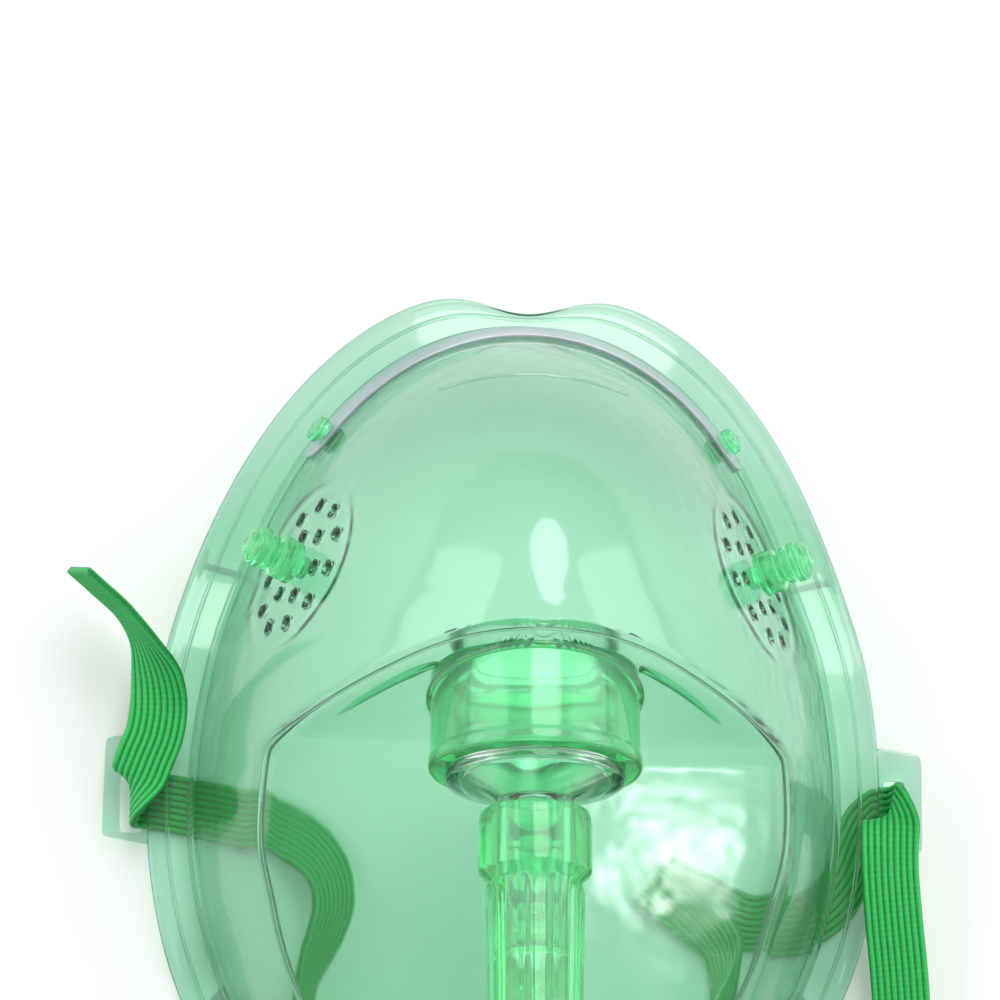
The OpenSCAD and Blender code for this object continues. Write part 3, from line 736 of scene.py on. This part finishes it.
# ---- Head strap --------------------------------------------------------------------------------
# Woven elastic with nine ribs along it, one length threaded through both slots. Its ends stick out
# loose, and between the slots it runs under the rim and round inside the mask. Each row of its route
# is a place, then the heading and the rise of the strap's width in degrees.
strap_route = np.array([[-57, 23.5, 14, 40, 82], [-54.5, 21.5, 12.5, 42, 82], [-51, 18.5, 10.5, 40, 80],
    [-48.5, 15, 9, 20, 66], [-47, 11, 7.6, 8, 30], [-46.6, 7, 6.8, 0, 4], [-47, 3.5, 6.9, -14, 0],
    [-48, 0.5, 7.2, -38, 0], [-49, -2.6, 6.8, -68, 0], [-49.4, -4.3, 5.2, -88, 0],
    [-49.4, -4.5, 3.4, -90, 0], [-49.4, -4.5, 1.9, -90, 0], [-48.5, -4.5, 0.9, -90, 0],
    [-46, -4.8, 0.7, -92, 0], [-42, -5.4, 0.7, -98, 0], [-37, -6.2, 0.9, -102, 2],
    [-31.5, -7.6, 1.6, -112, 12], [-27, -10, 2.8, -130, 28], [-24.2, -13.5, 3.8, -158, 40],
    [-23.4, -17.5, 4.2, -180, 48], [-24.6, -22, 4.2, -200, 56], [-26.4, -26.4, 4.2, -208, 66],
    [-27, -30.8, 4.1, -196, 78], [-24.6, -35, 4, -164, 78], [-19.8, -38.6, 4, -138, 80],
    [-13.6, -41.2, 4, -112, 84], [-5.6, -42.6, 4, -98, 84], [4.8, -42.6, 4, -84, 84],
    [13.2, -41.2, 4, -68, 84], [20, -38.2, 4, -46, 80], [25.4, -33.4, 4.1, -20, 80],
    [27.4, -27.6, 4, 6, 70], [27, -22, 3.4, 30, 48], [23, -17.5, 2.8, 44, 20], [19.6, -14.6, 2.5, 48, 4],
    [18.6, -13.6, 1.7, 48, 0], [19.6, -14, 0.9, 52, 0], [24, -15.8, 0.7, 66, 0],
    [30, -18.6, 0.7, 74, 0], [36, -19, 0.7, 96, 0], [40.4, -16.8, 0.7, 128, 0],
    [43.6, -13, 0.7, 146, 0], [45.6, -8.4, 0.7, 130, 0], [47.2, -5.6, 0.8, 102, 0],
    [48.7, -4.5, 1, 92, 0], [49.4, -4.5, 1.9, 90, 0], [49.4, -4.5, 3.4, 90, 0],
    [49.4, -4.4, 5.2, 88, 0], [49, -4.2, 7, 78, 0], [48.4, -5, 8.6, 52, 4],
    [48, -7.6, 9.4, 24, 4], [48, -12, 9.2, 6, 0], [48.6, -18, 8.2, -4, 0], [49.6, -25, 6.4, -8, 0],
    [50.4, -32, 4.2, -4, 0], [50.4, -39, 2.2, -6, 0], [49, -46, 1, -18, 0], [45.6, -53, 0.7, -31, 0],
    [40.8, -59.4, 0.7, -41, 0], [35, -65, 0.7, -45, 0]
])
strap_w, strap_t, strap_ribs = 7.5, 1.0, 9
stitch_l = 0.75


def through(points, per_span):
    """A smooth curve that starts and ends on the points: a centripetal spline, which blends the lines
    through four neighbours, spaced by the square roots of their distances."""
    p = np.concatenate([[2 * points[0] - points[1]], points, [2 * points[-1] - points[-2]]])
    gap = np.maximum(np.linalg.norm(np.diff(p[:, :3], axis=0), axis=1), 1e-6) ** 0.5
    k = np.concatenate([[0], np.cumsum(gap)])
    out = []
    for i in range(1, len(p) - 2):
        t = np.linspace(k[i], k[i + 1], per_span, endpoint=False)[:, None]
        k0, k1, k2, k3 = k[i - 1 : i + 3]
        a1 = (k1 - t) / (k1 - k0) * p[i - 1] + (t - k0) / (k1 - k0) * p[i]
        a2 = (k2 - t) / (k2 - k1) * p[i] + (t - k1) / (k2 - k1) * p[i + 1]
        a3 = (k3 - t) / (k3 - k2) * p[i + 1] + (t - k2) / (k3 - k2) * p[i + 2]
        b1 = (k2 - t) / (k2 - k0) * a1 + (t - k0) / (k2 - k0) * a2
        b2 = (k3 - t) / (k3 - k1) * a2 + (t - k1) / (k3 - k1) * a3
        out.append((k2 - t) / (k2 - k1) * b1 + (t - k1) / (k2 - k1) * b2)
    return np.concatenate([*out, p[-2:-1]])


heading, rise = np.radians(strap_route[:, 3]), np.radians(strap_route[:, 4])
width_way = np.stack([np.cos(heading) * np.cos(rise), np.sin(heading) * np.cos(rise), np.sin(rise)], -1)
curve = through(np.concatenate([strap_route[:, :3], width_way], 1), 9)
strap_line, across = curve[:, :3], curve[:, 3:]
ahead = unit(np.gradient(strap_line, axis=0))
across = unit(across - (across * ahead).sum(-1, keepdims=True) * ahead)
face = np.cross(ahead, across)
per_face, edge_from, rib_depth = 73, 0.93, 0.16
u = np.linspace(-1, 1, per_face)
edge_round = np.sqrt(np.maximum(1 - np.maximum(np.abs(u) - edge_from, 0) ** 2 / (1 - edge_from) ** 2, 0))
ribs_up = np.abs(np.cos(u * math.pi * strap_ribs / 2)) ** 0.7
rib_top = (strap_t / 2 - rib_depth + rib_depth * ribs_up) * edge_round
section = np.concatenate([np.stack([u, rib_top], -1), np.stack([u[::-1], -rib_top[::-1]], -1)[1:-1]])
rows, columns = len(strap_line), len(section)
strap_points = (
    strap_line[:, None]
    + across[:, None] * section[None, :, :1] * strap_w / 2
    + face[:, None] * section[None, :, 1:]
)
strap = mesh_piece("woven_strap", strap_points.reshape(-1, 3) * mm, capped(rows, columns))
strap_along = np.concatenate([[0], np.cumsum(np.linalg.norm(np.diff(strap_line, axis=0), axis=1))])
weave_uv = np.stack(
    [np.repeat(strap_along[:, None], columns, 1), np.repeat(section[None, :, 0] * strap_w / 2, rows, 0)], -1
).reshape(-1, 2)
uv_layer = strap.data.uv_layers.new(name="weave")
corner_vertex = np.empty(len(strap.data.loops), np.int32)
strap.data.loops.foreach_get("vertex_index", corner_vertex)
uv_layer.data.foreach_set("uv", weave_uv[corner_vertex].astype(np.float32).ravel())


def woven_elastic():
    """Green elastic: rows of small stitches between grooves, with faint blotches. The height is
    the cosine wave of the ribs times the shallow sine wave of the stitches. The base colour goes
    darker where the height is low: painted shade in the grooves and between the stitches."""
    material = bpy.data.materials.new("strap_elastic")
    material.use_nodes = True
    tree = material.node_tree
    link = tree.links.new

    def maths(operation, *given):
        """One step of arithmetic on sockets and numbers."""
        step = tree.nodes.new("ShaderNodeMath")
        step.operation = operation
        for place, value in enumerate(given):
            if isinstance(value, bpy.types.NodeSocket):
                link(value, step.inputs[place])
            else:
                step.inputs[place].default_value = value
        return step.outputs[0]

    shader = tree.nodes["Principled BSDF"]
    shader.inputs["Sheen Weight"].default_value = 0.08
    shader.inputs["Sheen Roughness"].default_value = 0.5
    uv = tree.nodes.new("ShaderNodeUVMap")
    uv.uv_map = "weave"
    split = tree.nodes.new("ShaderNodeSeparateXYZ")
    link(uv.outputs["UV"], split.inputs["Vector"])
    rib_angle = maths("MULTIPLY", split.outputs["Y"], math.pi * strap_ribs / strap_w)
    rib_size = maths("ABSOLUTE", maths("COSINE", rib_angle))
    stitch_angle = maths("MULTIPLY", split.outputs["X"], 2 * math.pi / stitch_l)
    stitch_size = maths("MULTIPLY_ADD", maths("SINE", stitch_angle), 0.12, 0.88)
    height = maths("MULTIPLY", rib_size, stitch_size)
    fuzz = tree.nodes.new("ShaderNodeTexNoise")
    fuzz.inputs["Scale"].default_value = 2.2
    fuzz.inputs["Detail"].default_value = 8
    # Painted shade: the ramp darkens the base colour where the height is low, in the rib grooves and
    # between the stitches; the noise adds faint blotches of real tone.
    colour = tree.nodes.new("ShaderNodeValToRGB")
    colour.color_ramp.elements[0].color = (0.002, 0.13, 0.018, 1)
    colour.color_ramp.elements[0].position = 0.15
    colour.color_ramp.elements[1].color = (0.02, 0.5, 0.1, 1)
    colour.color_ramp.elements[1].position = 1.1 / 1.2
    gloss = tree.nodes.new("ShaderNodeMapRange")
    gloss.inputs["To Min"].default_value = 0.75
    gloss.inputs["To Max"].default_value = 0.5
    bump = tree.nodes.new("ShaderNodeBump")
    bump.inputs["Strength"].default_value = 0.6
    bump.inputs["Distance"].default_value = 0.00025
    link(uv.outputs["UV"], fuzz.inputs["Vector"])
    link(maths("MULTIPLY_ADD", fuzz.outputs["Fac"], 0.5, height), colour.inputs["Fac"])
    link(height, gloss.inputs["Value"])
    link(height, bump.inputs["Height"])
    link(colour.outputs["Color"], shader.inputs["Base Color"])
    link(gloss.outputs["Result"], shader.inputs["Roughness"])
    link(bump.outputs["Normal"], shader.inputs["Normal"])
    return material


finish_piece(strap, woven_elastic(), "mask", "strap_elastic", "elastic_strap")


# ---- Hose cuffs --------------------------------------------------------------------------------
# Two equal cuffs moulded in the ring's soft plastic, one pushed on the adapter's nipple and one for
# the oxygen supply: a plain ring at the mouth, then a body with ten ribs that tapers to the hose.
cuff_l, cuff_ring_l, cuff_r, cuff_ribs = 30.0, 8.3, 6.65, 10
cuff_body_r, cuff_tail_r, socket_r, gas_r = 5.35, 4.85, 3.2, 2.0
bore_l, socket_from, rib_h = 16.5, 17.5, 0.62


def cuff(name, at_and_axes, bore_r, *nodes):
    """A cuff turned about its axis from its mouth, with ribs on its tapering body."""
    taper = np.linspace(0.05, 0.97, 24)
    body_r = cuff_body_r + (cuff_tail_r - cuff_body_r) * taper
    body_h = cuff_ring_l + 0.4 + taper * (cuff_l - cuff_ring_l - 0.9)
    outline = rounded([
        (bore_r, 0, 0.25), (cuff_r - 0.15, 0, 0.7), (cuff_r, 1.5, 0.3), (cuff_r, cuff_ring_l - 1, 0.7),
        (cuff_body_r, cuff_ring_l + 0.2, 0.6), *zip(body_r, body_h, np.zeros(24)),
        (cuff_tail_r - 0.1, cuff_l, 0.4), (socket_r, cuff_l, 0.3), (socket_r, socket_from, 0),
        (gas_r, socket_from, 0.2), (gas_r, bore_l, 0.2), (bore_r, bore_l, 0),
    ], 5)

    def ribs(radius, height, angle):
        """Ridges from the cosine of ten times the angle, which fade in after the ring and out again."""
        outside = (radius > cuff_tail_r - 0.3) & (height > cuff_ring_l) & (height < cuff_l - 0.2)
        fade = smooth((height - cuff_ring_l) / 0.8) * smooth((cuff_l - 0.5 - height) / 1.5)
        return outside * fade * (rib_h * np.maximum(np.cos(cuff_ribs * angle), 0) ** 1.5 - 0.12)

    piece = lathe(name, outline, at_and_axes, 240, ribs)
    finish_piece(piece, port_pvc, "hose", "port_green_pvc", *nodes)
    return piece


cuff_from = 5.0
cuff_origin = port_o + cuff_from * port_dir
mask_cuff = cuff("mask_end_cuff", (cuff_origin, port_axes[1]), 3.35, "hose_cuff")
supply_at = np.array([60.9, -59.9, 6.65])
supply_cuff = cuff("supply_end_cuff", (supply_at, [(1, 0, 0), (0, 0, 1), (0, -1, 0)]), 3.0, "source_cuff")


# ---- Supply hose -------------------------------------------------------------------------------
# Soft clear green tube, 6.2 mm outside with a 1 mm wall, pushed into the sockets of both cuffs. It
# falls past the chin into a flat coil of two layers, and its other end lies beside the coil.
hose_d, hose_wall = 6.2, 1.0
hose_r = hose_d / 2
cuff_end = cuff_from + cuff_l
coil_out_r, coil_turns, coil_run_in = 45.9, 3.5, 17
lead_top = port_o + (cuff_end + 16) * port_dir
coil_c = np.array([15.0, lead_top[1] - 65 - coil_run_in])
# The lead falls from the cuff to the table: each row gives the share of the way across to the coil,
# the distance on, and the share of the height that is left.
fall = np.array([[0, 10, 1.03], [0, 16, 1.01], [0, 22, 0.953], [0.016, 27, 0.863], [0.065, 30.5, 0.75],
    [0.146, 33, 0.616], [0.26, 34.6, 0.492], [0.405, 36, 0.38], [0.566, 38.6, 0.267],
    [0.728, 42.6, 0.155], [0.858, 47, 0.076], [0.945, 53, 0.02], [0.99, 59, 0], [1, 65, 0], [1, 73, 0]])
lead = np.concatenate([
    [port_o + a * port_dir for a in (22.5, cuff_end, cuff_end + 8, cuff_end + 16)],
    np.stack([fall[:, 0] * (coil_c[0] - coil_out_r), lead_top[1] - fall[:, 1],
              hose_r + fall[:, 2] * (lead_top[2] - hose_r)], -1),
])
# The coil's lower layer winds inwards, climbs in half a turn, and its upper layer winds out again.
turn = np.arange(0, 2 * coil_turns + 0.5001, 1 / 30)
spiral_in, spiral_out = np.minimum(turn, coil_turns), np.maximum(turn - coil_turns - 0.5, 0)
coil_r = coil_out_r - hose_d * (spiral_in - spiral_out)
coil_a = math.pi + 2 * math.pi * turn
coil = np.stack([
    coil_c[0] + coil_r * np.cos(coil_a), coil_c[1] + coil_r * np.sin(coil_a),
    hose_r + hose_d * smooth((turn - coil_turns) / 0.5),
], -1)
coil_top_z = 1.5 * hose_d
# The tail runs straight on from the upper layer: the distance on, and the share of the height left.
run_out = np.array([[9, 1], [coil_run_in, 1], [25, 0.74], [33, 0.28], [41, 0], [49, 0], [57, 0]])
tail = np.stack([np.full(len(run_out), coil_c[0] + coil_out_r), coil_c[1] + run_out[:, 0],
                 cuff_r + run_out[:, 1] * (coil_top_z - cuff_r)], -1)
hose_line = through(np.concatenate([lead, coil, tail]), 2)
hose_ahead = unit(np.gradient(hose_line, axis=0))
hose_side = unit(np.cross([0, 0, 1.0], hose_ahead))
hose_up = np.cross(hose_ahead, hose_side)
hose_sides = 28
wall_out = tube(hose_line, hose_side * hose_r, hose_up * hose_r, hose_sides)
bore_r = hose_r - hose_wall
wall_in = tube(hose_line, hose_side * bore_r, hose_up * bore_r, hose_sides)
rows = len(hose_line)
half = rows * hose_sides
outside = quads(rows, hose_sides)
ring = np.arange(hose_sides)
ring_next = (ring + 1) % hose_sides
ends = [
    np.stack([ring + o, ring_next + o, ring_next + half + o, ring + half + o], -1)
    for o in (0, (rows - 1) * hose_sides)
]
hose = mesh_piece(
    "supply_hose",
    np.concatenate([wall_out.reshape(-1, 3), wall_in.reshape(-1, 3)]) * mm,
    [outside, outside[:, ::-1] + half, *ends],
)
hose_pvc = clear_plastic("hose_pvc", (230, 45, 140))
finish_piece(hose, hose_pvc, "hose", "hose_pvc", "oxygen_hose", "hose_coil", "hose_tail")
